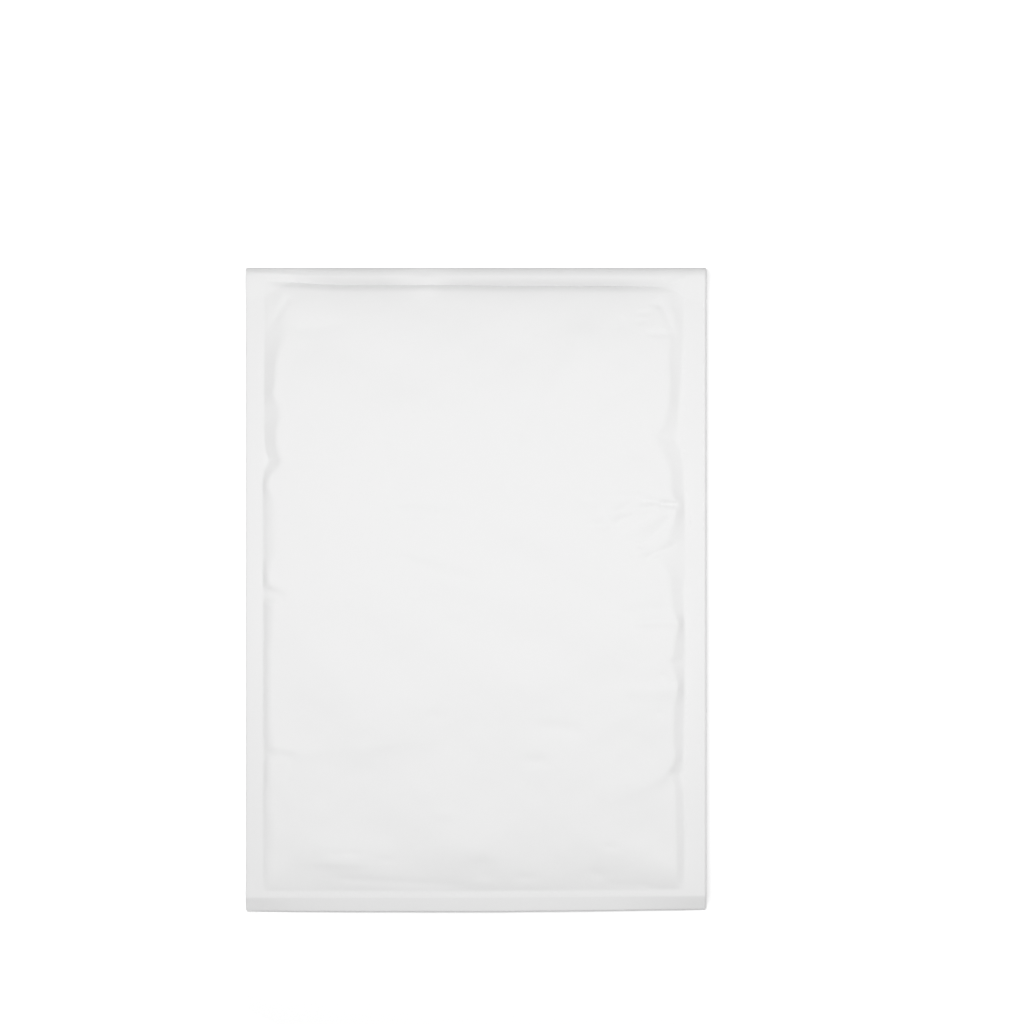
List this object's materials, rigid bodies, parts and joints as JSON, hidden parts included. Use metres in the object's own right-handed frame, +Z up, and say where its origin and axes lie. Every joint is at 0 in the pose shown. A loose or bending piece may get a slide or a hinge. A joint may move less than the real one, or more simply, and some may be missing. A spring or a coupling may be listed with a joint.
{
  "type": "bubble mailer",
  "caption": "Flat padded paper mailer: one folded sheet with a seal flap folded under, lined with a bubble-film bag.",
  "frame": {"origin": "middle of the footprint, on the back panel's lowest face, which is what the mailer lies on", "axes": "+X across the mailer, +Y from the bottom fold to the flap fold, +Z up out of the address side"},
  "size_m": [0.25, 0.35, 0.0074],
  "materials": {
    "white_paper": "smooth white kraft paper",
    "bubble_film": "clear bubble film",
    "glue_band": "pressure-sensitive glue",
    "liner_paper": "siliconised paper",
    "clear_tape": "clear film"
  },
  "bodies": {
    "root": {"paper_envelope": "white_paper", "bubble_lining": "bubble_film", "flap_adhesive": "glue_band", "release_liner": "liner_paper", "reopen_tape": "clear_tape"}
  },
  "joints": []
}
